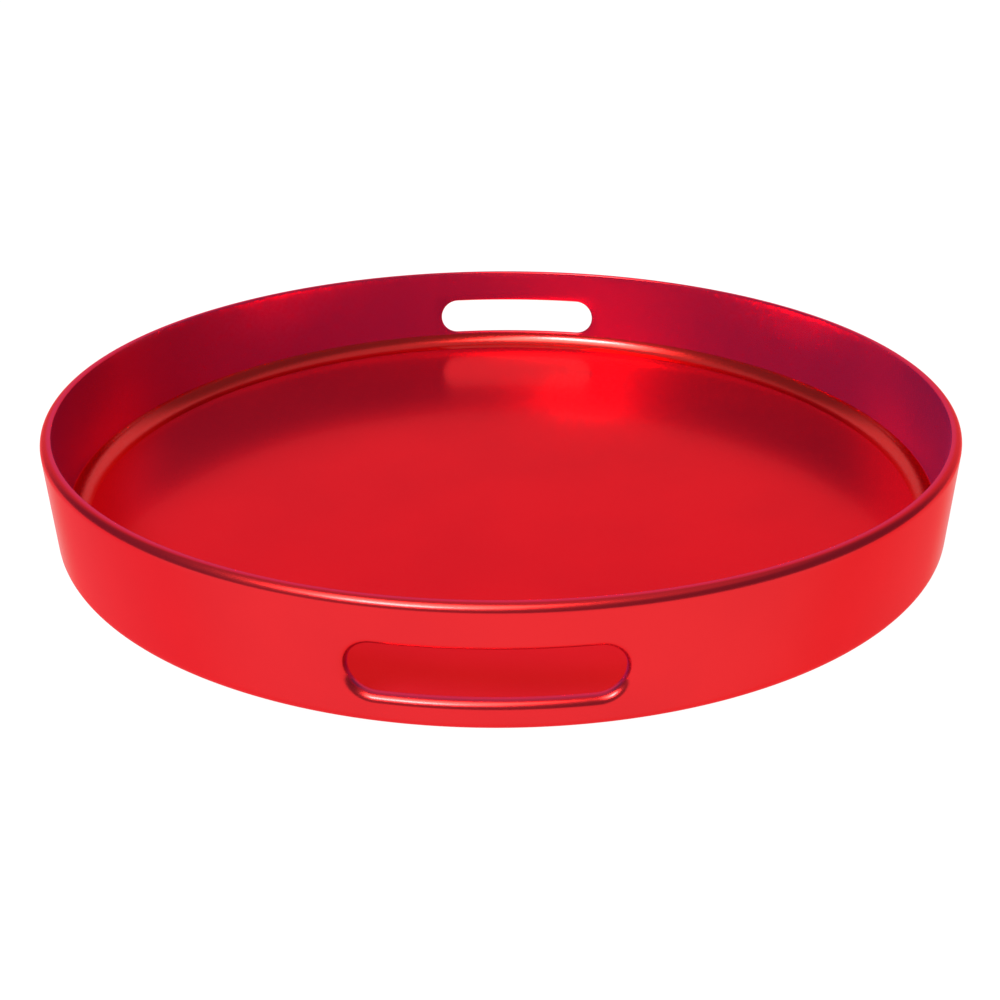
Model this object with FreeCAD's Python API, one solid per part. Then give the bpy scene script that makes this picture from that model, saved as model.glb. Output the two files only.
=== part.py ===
import FreeCAD, Part
import math
import os

# A round serving tray of lacquered wood: a bent hoop with two handle slots,
# a flat base panel let into its foot, a cove of filler between the two, and
# four self-adhesive pads that it stands on.
#
# Millimetres. Z points up, the origin is the centre of the plane that the pads
# stand on, and the two handle slots lie on the Y axis.

# ---------------------------------------------------------------- sizes

# the side wall, a hoop that leans outwards a little
RIM_RADIUS = 190.0           # outside of the wall, at the top
WALL_HEIGHT = 46.0           # underside of the tray to the top of the rim
WALL_THICKNESS = 4.5
WALL_LEAN = 1.1              # degrees from upright
INNER_EDGE_RADIUS = 0.8      # eases the inner edges of the rim and the slots
EDGE_FLAT = 0.5              # left between the easing and the outer rounding
FOOT_CORNER_RADIUS = 4.6     # between the outside of the wall and the underside

# the base panel
PANEL_THICKNESS = 3.2
REBATE_DEPTH = 1.5           # how far the panel is let into the wall
GLUE_GAP = 0.1               # between the panel's edge and the rebate

# the cove of filler in the inside corner
COVE_RADIUS = 8.8
COVE_EDGE = 0.2              # thickness that the filler keeps at both its edges

# the two handle slots
SLOT_LENGTH = 87.5           # at the middle of the wall's thickness
SLOT_HEIGHT = 18.6
COVE_TO_SLOT = 0.3           # plain wall between the cove and the slot's eased edge

# the pads
PAD_COUNT = 4
PAD_RADIUS = 8.0
PAD_THICKNESS = 2.0
PAD_EDGE_RADIUS = 0.7
PAD_FIRST_ANGLE = 45.0       # degrees from the X axis
PAD_INSET = 14.0             # from the outer corner of the underside to a pad

TOUCHING = 0.01              # points nearer than this count as touching
TOOL_REACH = 9.0             # how far a slot's cutting tool runs past the wall

# ---------------------------------------------------------------- worked out

LEAN = math.radians(WALL_LEAN)
UNDERSIDE_Z = PAD_THICKNESS
FLOOR_Z = UNDERSIDE_Z + PANEL_THICKNESS
RIM_Z = UNDERSIDE_Z + WALL_HEIGHT
OUTER_EDGE_RADIUS = WALL_THICKNESS - INNER_EDGE_RADIUS - EDGE_FLAT
WALL_MIDDLE_R = RIM_RADIUS - WALL_THICKNESS / 2
SLOT_HALF_ANGLE = math.asin(SLOT_LENGTH / 2 / WALL_MIDDLE_R)

# the rounding of the rim's outer edge is an arc about this point
OUTER_ARC_R = RIM_RADIUS - OUTER_EDGE_RADIUS
OUTER_ARC_Z = RIM_Z - OUTER_EDGE_RADIUS

# the cove's arc stops this far before each tangent point, in radians
COVE_STOP = math.acos((COVE_RADIUS - COVE_EDGE) / COVE_RADIUS)
COVE_CENTRE_Z = FLOOR_Z + COVE_RADIUS
COVE_TOP_Z = COVE_CENTRE_Z - COVE_RADIUS * math.sin(LEAN + COVE_STOP)
SLOT_CENTRE_Z = COVE_TOP_Z + COVE_TO_SLOT + INNER_EDGE_RADIUS + SLOT_HEIGHT / 2


def outside_radius(height):
    """Radius of the wall's outer face at a height."""
    along = (height - OUTER_ARC_Z) * math.tan(LEAN)
    return OUTER_ARC_R + along + OUTER_EDGE_RADIUS / math.cos(LEAN)


def inside_radius(height):
    return outside_radius(height) - WALL_THICKNESS / math.cos(LEAN)


REBATE_RADIUS = inside_radius(FLOOR_Z) + REBATE_DEPTH
PAD_CIRCLE_RADIUS = outside_radius(UNDERSIDE_Z) - FOOT_CORNER_RADIUS - PAD_INSET - PAD_RADIUS


# ---------------------------------------------------------------- helpers

def at(radius, height):
    """A point of a section, drawn in the XZ plane."""
    return FreeCAD.Vector(radius, 0, height)


def on_circle(centre, radius, angle):
    """A point of a circle in the XZ plane; the angle is in radians from +X."""
    return centre + at(radius * math.cos(angle), radius * math.sin(angle))


def line(start, end):
    return Part.LineSegment(start, end).toShape()


def arc(centre, radius, start_angle, end_angle):
    middle_angle = (start_angle + end_angle) / 2
    start = on_circle(centre, radius, start_angle)
    middle = on_circle(centre, radius, middle_angle)
    end = on_circle(centre, radius, end_angle)
    return Part.Arc(start, middle, end).toShape()


def turned(edges):
    """The solid that a closed section sweeps in a full turn about Z."""
    face = Part.Face(Part.Wire(edges))
    return face.revolve(FreeCAD.Vector(0, 0, 0), FreeCAD.Vector(0, 0, 1), 360)


def write(name, shape):
    solid = shape.Solids[0]
    if len(shape.Solids) != 1 or not solid.isValid():
        raise RuntimeError(name + " is not one valid solid")
    solid.exportStep(os.path.join("parts", name + ".step"))
    print(name, round(solid.Volume / 1000, 1), "cm3")


# ---------------------------------------------------------------- pieces

def foot_round():
    """What the rounded lower corner takes off the wall and the panel."""
    corner = at(outside_radius(UNDERSIDE_Z), UNDERSIDE_Z)
    half_angle = (math.pi / 2 + LEAN) / 2
    to_tangent = FOOT_CORNER_RADIUS / math.tan(half_angle)
    centre = corner + at(-to_tangent, FOOT_CORNER_RADIUS)
    low = at(centre.x, UNDERSIDE_Z)
    high = on_circle(centre, FOOT_CORNER_RADIUS, -LEAN)
    outer = at(corner.x + FOOT_CORNER_RADIUS, corner.z)
    return turned([
        arc(centre, FOOT_CORNER_RADIUS, -math.pi / 2, -LEAN),
        line(high, at(outer.x, high.z)),
        line(at(outer.x, high.z), outer),
        line(outer, low),
    ])


def slot_shape(y):
    """A slot's round-ended shape, on the plane at this Y. It gets longer away
    from the middle of the tray, so that the slot's ends are square to the wall."""
    end_radius = SLOT_HEIGHT / 2
    half_straight = abs(y) * math.tan(SLOT_HALF_ANGLE) - end_radius
    middle = FreeCAD.Vector(0, y, SLOT_CENTRE_Z)
    right = middle + at(half_straight, 0)
    left = middle - at(half_straight, 0)
    up = at(0, end_radius)
    return Part.Wire([
        arc(right, end_radius, -math.pi / 2, math.pi / 2),
        line(right + up, left + up),
        arc(left, end_radius, math.pi / 2, 3 * math.pi / 2),
        line(left - up, right - up),
    ])


def slot_tool(side):
    """What a slot takes out of the wall, on the +Y side or the -Y side."""
    slot_end_depth = WALL_MIDDLE_R * math.cos(SLOT_HALF_ANGLE)
    near = slot_shape(side * (slot_end_depth - TOOL_REACH))
    far = slot_shape(side * (RIM_RADIUS + TOOL_REACH))
    return Part.makeLoft([near, far], True, True)


def slot_edges(hoop, tool, outer):
    """The edges that a slot leaves on the outer face, or on the inner face."""
    box = tool.BoundBox
    box.enlarge(TOUCHING)
    edges = []
    for edge in hoop.Edges:
        points = [vertex.Point for vertex in edge.Vertexes]
        in_slot = all(box.isInside(point) for point in points)
        across_wall = isinstance(edge.Curve, Part.Line)
        is_outer = all(math.hypot(point.x, point.y) > WALL_MIDDLE_R for point in points)
        if in_slot and not across_wall and is_outer == outer:
            edges.append(edge)
    return edges


def side_wall():
    """The hoop: rounded rim, rebated foot, rounded corner and two handle slots."""
    upright = math.pi / 2
    outer_centre = at(OUTER_ARC_R, OUTER_ARC_Z)
    inner_arc_z = RIM_Z - INNER_EDGE_RADIUS
    inner_arc_r = inside_radius(inner_arc_z) + INNER_EDGE_RADIUS / math.cos(LEAN)
    inner_centre = at(inner_arc_r, inner_arc_z)
    rim_outer = on_circle(outer_centre, OUTER_EDGE_RADIUS, -LEAN)
    rim_inner = on_circle(inner_centre, INNER_EDGE_RADIUS, math.pi - LEAN)
    outer_foot = at(outside_radius(UNDERSIDE_Z), UNDERSIDE_Z)
    rebate_foot = at(REBATE_RADIUS, UNDERSIDE_Z)
    rebate_top = at(REBATE_RADIUS, FLOOR_Z)
    shoulder = at(inside_radius(FLOOR_Z), FLOOR_Z)
    hoop = turned([
        line(outer_foot, rim_outer),
        arc(outer_centre, OUTER_EDGE_RADIUS, -LEAN, upright),
        line(at(OUTER_ARC_R, RIM_Z), at(inner_arc_r, RIM_Z)),
        arc(inner_centre, INNER_EDGE_RADIUS, upright, math.pi - LEAN),
        line(rim_inner, shoulder),
        line(shoulder, rebate_top),
        line(rebate_top, rebate_foot),
        line(rebate_foot, outer_foot),
    ])
    hoop = hoop.cut(foot_round())
    for side in (-1, 1):
        tool = slot_tool(side)
        hoop = hoop.cut(tool)
        hoop = hoop.makeFillet(INNER_EDGE_RADIUS, slot_edges(hoop, tool, False))
        hoop = hoop.makeFillet(OUTER_EDGE_RADIUS, slot_edges(hoop, tool, True))
    return hoop


def base_panel():
    """The floor: a disc in the wall's rebate, flush with the wall's foot."""
    radius = REBATE_RADIUS - GLUE_GAP
    disc = Part.makeCylinder(radius, PANEL_THICKNESS, at(0, UNDERSIDE_Z))
    return disc.cut(foot_round())


def cove_fillet():
    """The ring of filler, hollow-faced, between the floor and the wall. Both
    its edges stop short of a feather edge, where it is COVE_EDGE thick."""
    wall_foot = at(inside_radius(FLOOR_Z), FLOOR_Z)
    centre_r = inside_radius(COVE_CENTRE_Z) - COVE_RADIUS / math.cos(LEAN)
    centre = at(centre_r, COVE_CENTRE_Z)
    toe = on_circle(centre, COVE_RADIUS, -math.pi / 2 + COVE_STOP)
    top = on_circle(centre, COVE_RADIUS, -LEAN - COVE_STOP)
    toe_foot = at(toe.x, FLOOR_Z)
    wall_top = at(inside_radius(top.z), top.z)
    return turned([
        arc(centre, COVE_RADIUS, -math.pi / 2 + COVE_STOP, -LEAN - COVE_STOP),
        line(top, wall_top),
        line(wall_top, wall_foot),
        line(wall_foot, toe_foot),
        line(toe_foot, toe),
    ])


def foot_pad(index):
    """A round pad, stuck to the underside; its lower edge is rounded."""
    angle = math.radians(PAD_FIRST_ANGLE + index * 360 / PAD_COUNT)
    x = PAD_CIRCLE_RADIUS * math.cos(angle)
    y = PAD_CIRCLE_RADIUS * math.sin(angle)
    pad = Part.makeCylinder(PAD_RADIUS, PAD_THICKNESS, FreeCAD.Vector(x, y, 0))
    lower_edge = min(pad.Edges, key=lambda edge: edge.BoundBox.ZMax)
    return pad.makeFillet(PAD_EDGE_RADIUS, [lower_edge])


# ---------------------------------------------------------------- output

os.makedirs("parts", exist_ok=True)
write("side_wall", side_wall())
write("base_panel", base_panel())
write("cove_fillet", cove_fillet())
for pad_index in range(PAD_COUNT):
    write("foot_pad_" + str(pad_index + 1), foot_pad(pad_index))
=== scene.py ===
# %% [markdown]
# # A lacquered serving tray
# The tray is made as a joiner makes it: a hoop bent from thin board, a disc for
# the floor let into its foot, a ring of filler that softens the inside corner,
# and four rubber pads to stand on. Red lacquer over a metallic ground covers the
# wood. The frame already holds these pieces at their right sizes, as plain
# solids. Each gets a finer mesh here, made for smooth reflections, because a
# glossy surface shows every flat facet.

# %% Load the frame
import math

import bmesh
import bpy
from mathutils import Matrix, Vector


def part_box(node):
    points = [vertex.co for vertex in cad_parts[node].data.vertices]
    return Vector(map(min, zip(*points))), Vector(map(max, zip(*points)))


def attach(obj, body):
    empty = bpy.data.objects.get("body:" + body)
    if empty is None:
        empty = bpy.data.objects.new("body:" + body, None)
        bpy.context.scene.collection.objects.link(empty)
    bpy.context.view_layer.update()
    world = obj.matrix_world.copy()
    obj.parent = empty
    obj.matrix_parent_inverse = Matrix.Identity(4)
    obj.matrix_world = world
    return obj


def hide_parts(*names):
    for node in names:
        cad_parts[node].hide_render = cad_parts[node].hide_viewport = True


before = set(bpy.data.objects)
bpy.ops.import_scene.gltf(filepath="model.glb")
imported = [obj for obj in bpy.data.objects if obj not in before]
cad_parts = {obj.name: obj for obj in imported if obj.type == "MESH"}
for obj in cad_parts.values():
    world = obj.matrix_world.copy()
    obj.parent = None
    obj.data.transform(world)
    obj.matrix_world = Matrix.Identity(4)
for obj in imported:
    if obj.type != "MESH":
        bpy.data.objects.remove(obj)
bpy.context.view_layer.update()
MM = 0.001

# points and rows nearer than this count as touching
TOUCHING = 0.01 * MM
print("pieces:", sorted(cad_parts))

# %% [markdown]
# ## Sizes
# Every size is read from the frame's boxes or is a workshop size in millimetres
# that the boxes can't tell, such as the thickness of the wall. Nothing is moved
# or resized: a finer mesh has to land where the plain solid was.

# %% Sizes
wall_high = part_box("side_wall")[1]
panel_low, panel_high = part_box("base_panel")
cove_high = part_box("cove_fillet")[1]

UNDERSIDE = panel_low.z
FLOOR = panel_high.z
RIM = wall_high.z
RIM_RADIUS = wall_high.x

WALL = 4.5 * MM
LEAN = math.radians(1.1)
FOOT_CORNER = 4.6 * MM
REBATE = 1.5 * MM
GLUE_GAP = 0.1 * MM

COVE_RADIUS = 8.8 * MM
COVE_EDGE = 0.2 * MM
COVE_TO_SLOT = 0.3 * MM

SLOT_LENGTH = 87.5 * MM
SLOT_HEIGHT = 18.6 * MM

# the inner edges of the rim and the slots are eased, the outer ones rounded
INNER_EDGE = 0.8 * MM
EDGE_FLAT = 0.5 * MM
OUTER_EDGE = WALL - INNER_EDGE - EDGE_FLAT

MIDDLE_RADIUS = RIM_RADIUS - WALL / 2
OUTER_ARC_Z = RIM - OUTER_EDGE
SLOT_Z = cove_high.z + COVE_TO_SLOT + INNER_EDGE + SLOT_HEIGHT / 2


def outside_radius(height):
    along = (height - OUTER_ARC_Z) * math.tan(LEAN)
    return RIM_RADIUS - OUTER_EDGE + along + OUTER_EDGE / math.cos(LEAN)


def inside_radius(height):
    return outside_radius(height) - WALL / math.cos(LEAN)


REBATE_RADIUS = inside_radius(FLOOR) + REBATE
print("across the rim, mm:", round(2 * RIM_RADIUS / MM, 1))
print("slot centre above the table, mm:", round(SLOT_Z / MM, 2))

# %% [markdown]
# ## Camera
# The camera comes before the pieces, so that every try of a shape is seen from
# the same place. It stands half a metre away, a little to the right of the line
# through the two handles, and looks down at about 25 degrees. A small shift
# frames the tray, as cropping a print does. There is no depth of field: the
# whole tray is sharp.

# %% Camera
CAMERA_ASIDE = 0.0175
CAMERA_DISTANCE = 0.4964
CAMERA_HEIGHT = 0.2274
CAMERA_PITCH = math.radians(25.55)
CAMERA_ROLL = math.radians(0.56)
CAMERA_SHIFT = -0.0453
SENSOR = 36.0
LENS = 43.57

camera_data = bpy.data.cameras.new("studio_camera")
camera_data.sensor_width = SENSOR
camera_data.lens = LENS
camera_data.shift_x = CAMERA_SHIFT
camera = bpy.data.objects.new("studio_camera", camera_data)
stand = Vector((CAMERA_ASIDE, -CAMERA_DISTANCE, UNDERSIDE + CAMERA_HEIGHT))
tilted = Matrix.Rotation(math.pi / 2 - CAMERA_PITCH, 4, "X")
rolled = Matrix.Rotation(CAMERA_ROLL, 4, "Z")
camera.matrix_world = Matrix.Translation(stand) @ tilted @ rolled
bpy.context.scene.collection.objects.link(camera)
bpy.context.scene.camera = camera
print("camera at, mm:", [round(v / MM, 1) for v in camera.location])

# %% [markdown]
# ## Making pieces
# A bmesh is a mesh on the bench: operators such as spin, extrude, solidify and
# bevel work on it. When it is done it becomes an object at the origin, with its
# place in its mesh, and takes over from the plain solid of the same name. A
# smooth surface is shaded smooth, and only edges sharper than a set angle stay
# crisp.

# %% Helpers for meshes
CRISP = math.radians(35)
SEAM = 0.005 * MM
RING_STEPS = 360


def finish_piece(bench, name, node, material):
    """Turns a bmesh into a piece that stands for a CAD node."""
    for edge in bench.edges:
        sharp = len(edge.link_faces) == 2 and edge.calc_face_angle(0) > CRISP
        edge.smooth = not sharp
    for face in bench.faces:
        face.smooth = True
    mesh = bpy.data.meshes.new(name)
    bench.to_mesh(mesh)
    bench.free()
    mesh.materials.append(material)
    piece = bpy.data.objects.new(name, mesh)
    bpy.context.scene.collection.objects.link(piece)
    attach(piece, "root")
    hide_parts(node)
    low = min(v.co.z for v in mesh.vertices) / MM
    high = max(v.co.z for v in mesh.vertices) / MM
    print(name, len(mesh.polygons), "faces, from", round(low, 2), "to", round(high, 2), "mm")


def spin_section(points, steps):
    """Turns a section, given as (radius, height) points, once about Z."""
    bench = bmesh.new()
    verts = [bench.verts.new((radius, 0, height)) for radius, height in points]
    edges = [bench.edges.new(pair) for pair in zip(verts, verts[1:])]
    bmesh.ops.spin(
        bench, geom=verts + edges, cent=(0, 0, 0), axis=(0, 0, 1),
        angle=2 * math.pi, steps=steps, use_merge=True,
    )
    bmesh.ops.remove_doubles(bench, verts=bench.verts, dist=SEAM)
    bmesh.ops.recalc_face_normals(bench, faces=bench.faces)
    return bench


def arc_points(centre, radius, start, end, steps):
    """Points along an arc of a section, ends included; angles in degrees."""
    points = []
    for step in range(steps + 1):
        angle = math.radians(start + (end - start) * step / steps)
        points.append((centre[0] + radius * math.cos(angle), centre[1] + radius * math.sin(angle)))
    return points


# %% [markdown]
# ## Making finishes
# A finish is a small network of nodes. One function adds a node, sets it and
# links it, so a material reads as a list of steps. Colours are written as sRGB
# hex values, as a paint chart gives them, and turned to the linear values that
# the renderer works in.

# %% Helpers for materials
def hex_colour(text):
    """sRGB hex to a linear colour with alpha 1."""
    channels = [int(text[i:i + 2], 16) / 255 for i in (0, 2, 4)]
    return [c / 12.92 if c <= 0.04045 else ((c + 0.055) / 1.055) ** 2.4 for c in channels] + [1.0]


def add_node(tree, kind, settings=None, **inputs):
    """Adds a node; inputs are values or the sockets that feed them."""
    node = tree.nodes.new(kind)
    for name, value in (settings or {}).items():
        setattr(node, name, value)
    for name, value in inputs.items():
        key = int(name[1:]) if name[0] == "i" and name[1:].isdigit() else name.replace("_", " ")
        socket = node.inputs[key]
        if isinstance(value, bpy.types.NodeSocket):
            tree.links.new(value, socket)
        else:
            socket.default_value = value
    return node


def per_size(millimetres):
    """The scale of a pattern whose features are about this far apart."""
    return 1 / (millimetres * MM)


def new_material(name):
    """An empty material with a Principled surface."""
    material = bpy.data.materials.new(name)
    material.use_nodes = True
    tree = material.node_tree
    surface = tree.nodes["Principled BSDF"]
    return material, tree, surface


def add_ramp(tree, factor, stops):
    """A colour ramp through (position, hex) stops."""
    ramp = add_node(tree, "ShaderNodeValToRGB", Fac=factor)
    elements = ramp.color_ramp.elements
    while len(elements) < len(stops):
        elements.new(0.5)
    for element, (position, colour) in zip(elements, stops):
        element.position = position
        element.color = hex_colour(colour)
    return ramp


# %% [markdown]
# ## The lacquer
# The finish is a candy lacquer: a silver ground, then clear red coats, rubbed
# down and polished. The ground reflects and the red coats tint what it
# reflects, so it is set up as a metal with a red base colour. The clear top
# coat, with an IOR near 1.5, adds white to the highlights. It is strongest on
# the cove and weak elsewhere, so that most highlights stay red.

# %% Lacquer finishes
LACQUER_RED = "E22424"
LACQUER_DEEP = "DB2122"
EDGE_TINT = "FF7060"
# painted light: the sheen's bluish tint and its smaller share on the outer face make a veil of glare,
# strongest on the dark inner face
GLARE_VEIL_TINT = "7A6CFF"
OUTER_VEIL_SHARE = 1 / 6


def lacquer(name, metal, ground_roughness, coat, coat_roughness, streaks, grain, glare_veil):
    """Red lacquer over a metallic ground. Metal, coat and the glare veil are shares from 0 to 1; the glare
    veil is painted light, a bluish sheen laid over the dark inner face. Streaks and grain are heights
    against the orange peel's."""
    material, tree, surface = new_material(name)
    place = add_node(tree, "ShaderNodeTexCoord").outputs["Object"]

    # slow drift in the depth of the red coats, over some 60 mm
    drift = add_node(tree, "ShaderNodeTexNoise", Vector=place, Scale=per_size(62.5), Detail=3.0)
    colour = add_ramp(tree, drift.outputs["Fac"], [(0.35, LACQUER_DEEP), (0.65, LACQUER_RED)])
    tree.links.new(colour.outputs["Color"], surface.inputs["Base Color"])

    # sanding streaks that run round the wall: seven in 10 mm of height, each about
    # a ninth of a metre long
    streak_length = 1000 / 9
    streak_gap = 10 / 7
    stretched = add_node(
        tree, "ShaderNodeMapping", Vector=place,
        Scale=(per_size(streak_length), per_size(streak_length), per_size(streak_gap)),
    )
    streak = add_node(tree, "ShaderNodeTexNoise", Vector=stretched.outputs["Vector"], Scale=1.0, Detail=2.0)
    # orange peel, with swells some 5 mm across
    peel = add_node(tree, "ShaderNodeTexNoise", Vector=place, Scale=per_size(5), Detail=1.0)
    swells = add_node(
        tree, "ShaderNodeMath", {"operation": "MULTIPLY_ADD"},
        i0=streak.outputs["Fac"], i1=streaks, i2=peel.outputs["Fac"],
    )
    # grain of the surface under the lacquer, about 1 mm across
    speckle = add_node(tree, "ShaderNodeTexNoise", Vector=place, Scale=per_size(1), Detail=2.0)
    relief = add_node(
        tree, "ShaderNodeMath", {"operation": "MULTIPLY_ADD"},
        i0=speckle.outputs["Fac"], i1=grain, i2=swells.outputs["Value"],
    )
    bump = add_node(
        tree, "ShaderNodeBump", Height=relief.outputs["Value"], Strength=0.06, Distance=0.2 * MM,
    )
    tree.links.new(bump.outputs["Normal"], surface.inputs["Normal"])

    surface.inputs["Metallic"].default_value = metal
    surface.inputs["Roughness"].default_value = ground_roughness
    surface.inputs["Specular Tint"].default_value = hex_colour(EDGE_TINT)
    surface.inputs["Coat Weight"].default_value = coat
    surface.inputs["Coat Roughness"].default_value = coat_roughness
    surface.inputs["Coat IOR"].default_value = 1.5
    # painted light: the bluish sheen is a veil of glare over the dark inside of the hoop, and the outer
    # face, which gets more light, takes a sixth of it
    flat = add_node(tree, "ShaderNodeVectorMath", {"operation": "MULTIPLY"}, i0=place, i1=(1, 1, 0))
    radius = add_node(tree, "ShaderNodeVectorMath", {"operation": "LENGTH"}, i0=flat.outputs["Vector"])
    veil_by_face = add_node(
        tree, "ShaderNodeMapRange", Value=radius.outputs["Value"],
        From_Min=MIDDLE_RADIUS - MM, From_Max=MIDDLE_RADIUS, To_Min=glare_veil, To_Max=glare_veil * OUTER_VEIL_SHARE,
    )
    tree.links.new(veil_by_face.outputs["Result"], surface.inputs["Sheen Weight"])
    surface.inputs["Sheen Roughness"].default_value = 1.0
    surface.inputs["Sheen Tint"].default_value = hex_colour(GLARE_VEIL_TINT)
    return material


WALL_LACQUER = lacquer(
    "candy_lacquer_wall", metal=1.0, ground_roughness=0.25, coat=0.18, coat_roughness=0.32,
    streaks=1.0, grain=0.3, glare_veil=0.065,
)
PANEL_LACQUER = lacquer(
    "candy_lacquer_floor", metal=0.9, ground_roughness=0.21, coat=0.02, coat_roughness=0.05,
    streaks=0.0, grain=0.3, glare_veil=0.012,
)
COVE_LACQUER = lacquer(
    "candy_lacquer_cove", metal=1.0, ground_roughness=0.22, coat=0.5, coat_roughness=0.18,
    streaks=0.0, grain=8.0, glare_veil=0.0,
)
print("lacquers made")

# %% Rubber
def moulded_rubber():
    """Black rubber of a self-adhesive pad, with a fine matt grain."""
    material, tree, surface = new_material("moulded_rubber")
    place = add_node(tree, "ShaderNodeTexCoord").outputs["Object"]
    grain = add_node(tree, "ShaderNodeTexNoise", Vector=place, Scale=per_size(0.4), Detail=2.0)
    colour = add_ramp(tree, grain.outputs["Fac"], [(0.3, "161616"), (0.7, "232323")])
    tree.links.new(colour.outputs["Color"], surface.inputs["Base Color"])
    bump = add_node(tree, "ShaderNodeBump", Height=grain.outputs["Fac"], Strength=0.3, Distance=0.1 * MM)
    tree.links.new(bump.outputs["Normal"], surface.inputs["Normal"])
    surface.inputs["Roughness"].default_value = 0.75
    return material


PAD_RUBBER = moulded_rubber()

# %% [markdown]
# ## The side wall
# The hoop is made as a thin skin first: one upright line of vertices, spun once
# round. A window is cut in the skin for each handle slot, its edge is drawn in
# and shaped to the slot's outline, and then the skin gets its thickness and its
# lean. Last, bevels round the rim and the slots' edges. Cutting the slots out of
# a solid ring with a boolean would be quicker, but it leaves long thin faces
# beside each slot, and they show in a glossy finish.

# %% The rows and columns of the wall
WALL_STEPS = 720
STEP = 2 * math.pi / WALL_STEPS

# a window leaves room round its slot for the slot's rounded edge
WINDOW_MARGIN = 4.4 * MM
WINDOW_LOW = SLOT_Z - SLOT_HEIGHT / 2 - WINDOW_MARGIN
WINDOW_HIGH = SLOT_Z + SLOT_HEIGHT / 2 + WINDOW_MARGIN
WINDOW_ROWS = 12
WINDOW_HALF = math.ceil(math.asin((SLOT_LENGTH / 2 + WINDOW_MARGIN) / MIDDLE_RADIUS) / STEP) * STEP

# the foot's rounded corner, which ends where it meets the rebate
FOOT_CENTRE_R = outside_radius(UNDERSIDE) - FOOT_CORNER / math.tan((math.pi / 2 + LEAN) / 2)
FOOT_CENTRE_Z = UNDERSIDE + FOOT_CORNER
FOOT_START = math.asin((REBATE_RADIUS - FOOT_CENTRE_R) / FOOT_CORNER)
CORNER_ROWS = 8
UPPER_ROWS = 4

# the rebate's step has two rows this far apart, and no other row near them
SHOULDER = 0.05 * MM
SHOULDER_ROOM = 0.25 * MM
# plain wall between the top row and the rim's rounding
RIM_ROOM = 0.5 * MM


def wall_heights():
    """Heights of the rows of vertices, from the foot to the rim."""
    heights = [FLOOR - SHOULDER, FLOOR]
    for row in range(CORNER_ROWS + 1):
        angle = FOOT_START + (math.pi / 2 - FOOT_START) * row / CORNER_ROWS
        height = FOOT_CENTRE_Z - FOOT_CORNER * math.cos(angle)
        if abs(height - FLOOR) > SHOULDER_ROOM:
            heights.append(height)
    for row in range(WINDOW_ROWS + 1):
        heights.append(WINDOW_LOW + (WINDOW_HIGH - WINDOW_LOW) * row / WINDOW_ROWS)
    below_rim = OUTER_ARC_Z - RIM_ROOM
    for row in range(1, UPPER_ROWS + 1):
        heights.append(WINDOW_HIGH + (below_rim - WINDOW_HIGH) * row / UPPER_ROWS)
    return sorted(heights + [RIM])


wall = spin_section([(MIDDLE_RADIUS, height) for height in wall_heights()], WALL_STEPS)
print("rows:", len(wall_heights()), "columns:", WALL_STEPS, "faces:", len(wall.faces))


# %% The windows and the slots
def slot_spot(x, z):
    """The place on the slot's outline that is nearest to a place on the wall."""
    end = SLOT_LENGTH / 2 - SLOT_HEIGHT / 2
    middle = Vector((max(-end, min(end, x)), SLOT_Z))
    return middle + (Vector((x, z)) - middle).normalized() * SLOT_HEIGHT / 2


def in_window(point, side):
    angle = math.atan2(point.x, side * point.y)
    return abs(angle) < WINDOW_HALF and WINDOW_LOW < point.z < WINDOW_HIGH


def beside_window(edge, side):
    """True for the open edges that cutting a window leaves."""
    point = edge.verts[0].co
    return edge.is_boundary and UNDERSIDE + FOOT_CORNER < point.z < OUTER_ARC_Z and point.y * side > 0


for side in (-1, 1):
    covered = [f for f in wall.faces if in_window(f.calc_center_median(), side)]
    bmesh.ops.delete(wall, geom=covered, context="FACES")
    frame_edges = [e for e in wall.edges if beside_window(e, side)]
    grown = bmesh.ops.extrude_edge_only(wall, edges=frame_edges)["geom"]
    for vert in (g for g in grown if isinstance(g, bmesh.types.BMVert)):
        spot = slot_spot(vert.co.x, vert.co.z)
        vert.co = (spot.x, side * math.sqrt(MIDDLE_RADIUS ** 2 - spot.x ** 2), spot.y)
print("faces with two slots:", len(wall.faces))

# %% [markdown]
# Solidify gives the skin its thickness. Each vertex then moves to its true
# radius for its height: the wall leans out, the outer face curves in at the
# foot, and the lowest rows of the inner face stand back to make the rebate. A
# vertex moves straight out from the middle of the tray, so the slots come out
# square to the wall, as a router guided along the hoop cuts them.

# %% Thickness, lean, foot and rebate
# solidify moves the outline's vertices a little; nearer than this, they belong to it
NEAR_SLOT = 0.5 * MM

bmesh.ops.recalc_face_normals(wall, faces=wall.faces)
bmesh.ops.solidify(wall, geom=wall.faces[:], thickness=WALL)
spread = [math.hypot(v.co.x, v.co.y) for v in wall.verts]
halfway = (min(spread) + max(spread)) / 2
outer_verts = {v for v, radius in zip(wall.verts, spread) if radius > halfway}


def true_radius(vert):
    height = vert.co.z
    if vert in outer_verts:
        if height > FOOT_CENTRE_Z:
            return outside_radius(height)
        return FOOT_CENTRE_R + math.sqrt(max(0, FOOT_CORNER ** 2 - (FOOT_CENTRE_Z - height) ** 2))
    return inside_radius(height) if height > FLOOR - SHOULDER / 2 else REBATE_RADIUS


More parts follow.
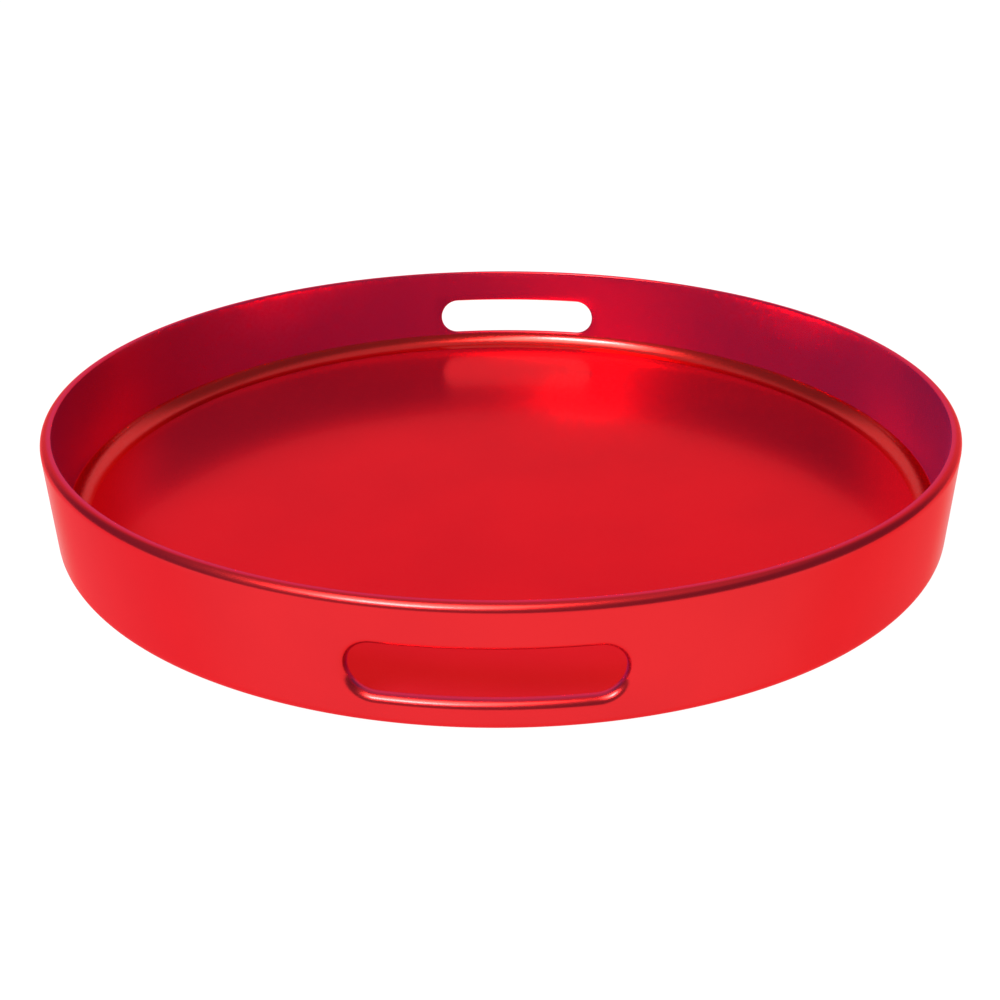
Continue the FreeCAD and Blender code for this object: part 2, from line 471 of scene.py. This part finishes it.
outline_verts = set()
for vert in wall.verts:
    x = vert.co.x / math.hypot(vert.co.x, vert.co.y) * MIDDLE_RADIUS
    spot = slot_spot(x, vert.co.z)
    if (spot - Vector((x, vert.co.z))).length < NEAR_SLOT:
        outline_verts.add(vert)
        y = math.copysign(math.sqrt(MIDDLE_RADIUS ** 2 - spot.x ** 2), vert.co.y)
        vert.co = (spot.x, y, spot.y)
    grow = true_radius(vert) / math.hypot(vert.co.x, vert.co.y)
    vert.co = (vert.co.x * grow, vert.co.y * grow, vert.co.z)
print("vertices on the slots' outlines:", len(outline_verts))

# %% [markdown]
# A router with a large round cutter goes round the outer edges of the rim and
# the slots, and the inner edges are only eased with sandpaper: that keeps the
# tray kind to the hands and its inside trim. Each rounding is a bevel with
# enough segments to shade as one curve.

# %% Rounding the slots and the rim
INNER_SEGMENTS = 4
OUTER_SEGMENTS = 10
DOUBLE = 0.004 * MM
SLIVER = 0.002 * MM


def is_outline(edge):
    return all(vert in outline_verts for vert in edge.verts)


def is_top(edge):
    return all(vert.co.z > RIM - TOUCHING for vert in edge.verts)


def round_edges(edges, radius, segments):
    bmesh.ops.bevel(
        wall, geom=edges, offset=radius, offset_type="OFFSET", affect="EDGES",
        segments=segments, profile=0.5, material=-1, clamp_overlap=False,
    )


to_round = [e for e in wall.edges if is_outline(e) or is_top(e)]
outer_edges = [e for e in to_round if e.verts[0] in outer_verts and e.verts[1] in outer_verts]
inner_edges = [e for e in to_round if e.verts[0] not in outer_verts and e.verts[1] not in outer_verts]
print("edges to round:", len(outer_edges), "outside,", len(inner_edges), "inside")
round_edges(inner_edges, INNER_EDGE, INNER_SEGMENTS)
outer_edges = [e for e in outer_edges if e.is_valid]
round_edges(outer_edges, OUTER_EDGE, OUTER_SEGMENTS)
bmesh.ops.remove_doubles(wall, verts=wall.verts, dist=DOUBLE)
bmesh.ops.dissolve_degenerate(wall, edges=wall.edges, dist=SLIVER)
open_edges = sum(e.is_boundary or not e.is_manifold for e in wall.edges)
print("open or odd edges:", open_edges, "volume, cm3:", round(wall.calc_volume(signed=True) * 1e6, 1))
finish_piece(wall, "bent_wall", "side_wall", WALL_LACQUER)

# %% [markdown]
# ## The base panel
# The floor is a flat disc. Its edge hides in the rebate, with a thin glue gap,
# and its lower corner takes the last of the foot's rounding. A section spun
# round makes it, and the spin closes on itself at the centre.

# %% The base panel
PANEL_CORNER_STEPS = 4
panel_radius = REBATE_RADIUS - GLUE_GAP
panel_start = math.asin((panel_radius - FOOT_CENTRE_R) / FOOT_CORNER)
panel_section = [(0, FLOOR), (panel_radius, FLOOR)]
panel_section += reversed(arc_points(
    (FOOT_CENTRE_R, FOOT_CENTRE_Z), FOOT_CORNER, -90, -90 + math.degrees(panel_start),
    PANEL_CORNER_STEPS,
))
panel_section.append((0, UNDERSIDE))
panel = spin_section(panel_section, RING_STEPS)
finish_piece(panel, "base_disc", "base_panel", PANEL_LACQUER)

# %% [markdown]
# ## The cove
# Filler is drawn round the inside corner with a rounded blade, so its face is a
# hollow arc and both its edges are thin but not sharp. It is the one part of
# the tray that is shaped by hand, and its surface shows it: it is grainier than
# the rest, even under the lacquer.

# %% The cove
cove_centre = (
    inside_radius(FLOOR + COVE_RADIUS) - COVE_RADIUS / math.cos(LEAN),
    FLOOR + COVE_RADIUS,
)
COVE_STEPS = 14
cove_stop = math.degrees(math.acos((COVE_RADIUS - COVE_EDGE) / COVE_RADIUS))
hollow = arc_points(cove_centre, COVE_RADIUS, -90 + cove_stop, -math.degrees(LEAN) - cove_stop, COVE_STEPS)
cove_section = [(hollow[0][0], FLOOR)] + hollow
cove_section += [(inside_radius(hollow[-1][1]), hollow[-1][1]), (inside_radius(FLOOR), FLOOR)]
cove = spin_section(cove_section + cove_section[:1], RING_STEPS)
finish_piece(cove, "filler_cove", "cove_fillet", COVE_LACQUER)

# %% [markdown]
# ## The pads
# Four rubber pads keep the lacquer off the table. Each is a moulded disc: its
# lower edge is rounded and its upper edge is eased where it sticks to the wood.

# %% The pads
PAD_EDGE = 0.7 * MM
PAD_TOP_EDGE = 0.2 * MM


def foot_pad(node):
    low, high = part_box(node)
    centre = (low + high) / 2
    pad = bmesh.new()
    bmesh.ops.create_circle(pad, cap_ends=True, segments=64, radius=(high.x - low.x) / 2)
    bmesh.ops.translate(pad, verts=pad.verts, vec=(centre.x, centre.y, low.z))
    grown = bmesh.ops.extrude_face_region(pad, geom=pad.faces[:])["geom"]
    top = [g for g in grown if isinstance(g, bmesh.types.BMVert)]
    bmesh.ops.translate(pad, verts=top, vec=(0, 0, high.z - low.z))
    bmesh.ops.recalc_face_normals(pad, faces=pad.faces)
    lower = [e for e in pad.edges if max(v.co.z for v in e.verts) < low.z + TOUCHING]
    bmesh.ops.bevel(
        pad, geom=lower, offset=PAD_EDGE, offset_type="OFFSET", affect="EDGES",
        segments=6, profile=0.5, material=-1,
    )
    upper = [e for e in pad.edges if min(v.co.z for v in e.verts) > high.z - TOUCHING]
    bmesh.ops.bevel(
        pad, geom=upper, offset=PAD_TOP_EDGE, offset_type="OFFSET", affect="EDGES",
        segments=2, profile=0.5, material=-1,
    )
    finish_piece(pad, "rubber_" + node, node, PAD_RUBBER)


for number in range(1, 5):
    foot_pad("foot_pad_" + str(number))

# %% [markdown]
# ## The studio
# A glossy tray shows its surroundings more than itself. The table is a sheet of
# acrylic lit from below, and the outside of the hoop mirrors it. Behind the tray
# the room is bright, and the floor mirrors that. The side that the camera stands
# on is darker, so the inside of the far wall goes deep. A soft box overhead draws
# the pale line along the rim, a smaller one at the front left lights the cove and
# the slots' lower lips, and a weak reflector at the left fills in.

# %% The table
TABLE_GLOW = 1.0

opal_acrylic, tree, surface = new_material("opal_acrylic_light_table")
place = add_node(tree, "ShaderNodeTexCoord").outputs["Object"]
mottle = add_node(tree, "ShaderNodeTexNoise", Vector=place, Scale=3.0, Detail=3.0)
shade = add_ramp(tree, mottle.outputs["Fac"], [(0.3, "2A2A2A"), (0.7, "303030")])
tree.links.new(shade.outputs["Color"], surface.inputs["Base Color"])
surface.inputs["Roughness"].default_value = 0.9
surface.inputs["Emission Color"].default_value = hex_colour("FFFFFF")
surface.inputs["Emission Strength"].default_value = TABLE_GLOW

table = bmesh.new()
bmesh.ops.create_grid(table, x_segments=2, y_segments=2, size=8.0)
table_mesh = bpy.data.meshes.new("table")
table.to_mesh(table_mesh)
table.free()
table_mesh.materials.append(opal_acrylic)
table_object = bpy.data.objects.new("table", table_mesh)
bpy.context.scene.collection.objects.link(table_object)

# %% The lights
AIM = Vector((0, 0, 0.03))


def soft_light(name, place, width, height, power, colour="FFFFFF"):
    """A rectangular soft box that faces the tray."""
    data = bpy.data.lights.new(name, "AREA")
    data.shape = "RECTANGLE"
    data.size = width
    data.size_y = height
    data.energy = power
    data.color = hex_colour(colour)[:3]
    light = bpy.data.objects.new(name, data)
    light.location = place
    light.rotation_euler = (AIM - Vector(place)).to_track_quat("-Z", "Y").to_euler()
    bpy.context.scene.collection.objects.link(light)


soft_light("overhead_box", (-0.28, -0.55, 1.05), 0.8, 0.7, 13, "FFF2D6")
soft_light("front_box", (-0.50, -0.98, 1.15), 0.5, 0.32, 28)
soft_light("left_reflector", (-1.05, -1.10, 0.62), 0.9, 0.45, 0.12)

# %% The room
ROOM_BACK = 0.83
ROOM_FRONT = 0.20
SKIRTING = 0.26
CEILING = 0.5

world = bpy.data.worlds.new("room")
bpy.context.scene.world = world
world.use_nodes = True
tree = world.node_tree
toward = add_node(tree, "ShaderNodeTexCoord").outputs["Generated"]
split = add_node(tree, "ShaderNodeSeparateXYZ", Vector=toward)
# the front of the room is a little lighter near the table
lower = add_node(
    tree, "ShaderNodeMapRange", {"interpolation_type": "SMOOTHSTEP"},
    Value=split.outputs["Z"], From_Min=0.05, From_Max=0.32, To_Min=SKIRTING, To_Max=ROOM_FRONT,
)
walls = add_node(
    tree, "ShaderNodeMapRange", {"interpolation_type": "SMOOTHSTEP"},
    Value=split.outputs["Y"], From_Min=0.4, From_Max=0.75,
    To_Min=lower.outputs["Result"], To_Max=ROOM_BACK,
)
# the ceiling takes over between 45 and 60 degrees up
rise = add_node(
    tree, "ShaderNodeMapRange", {"interpolation_type": "SMOOTHSTEP"},
    Value=split.outputs["Z"], From_Min=0.70, From_Max=0.87, To_Min=0.0, To_Max=1.0,
)
room = add_node(
    tree, "ShaderNodeMix", {"data_type": "FLOAT"},
    i0=rise.outputs["Result"], i2=walls.outputs["Result"], i3=CEILING,
)
tree.links.new(room.outputs[0], tree.nodes["Background"].inputs["Strength"])
tree.nodes["Background"].inputs["Color"].default_value = hex_colour("FFFFFF")
bpy.context.scene.view_settings.view_transform = "Standard"
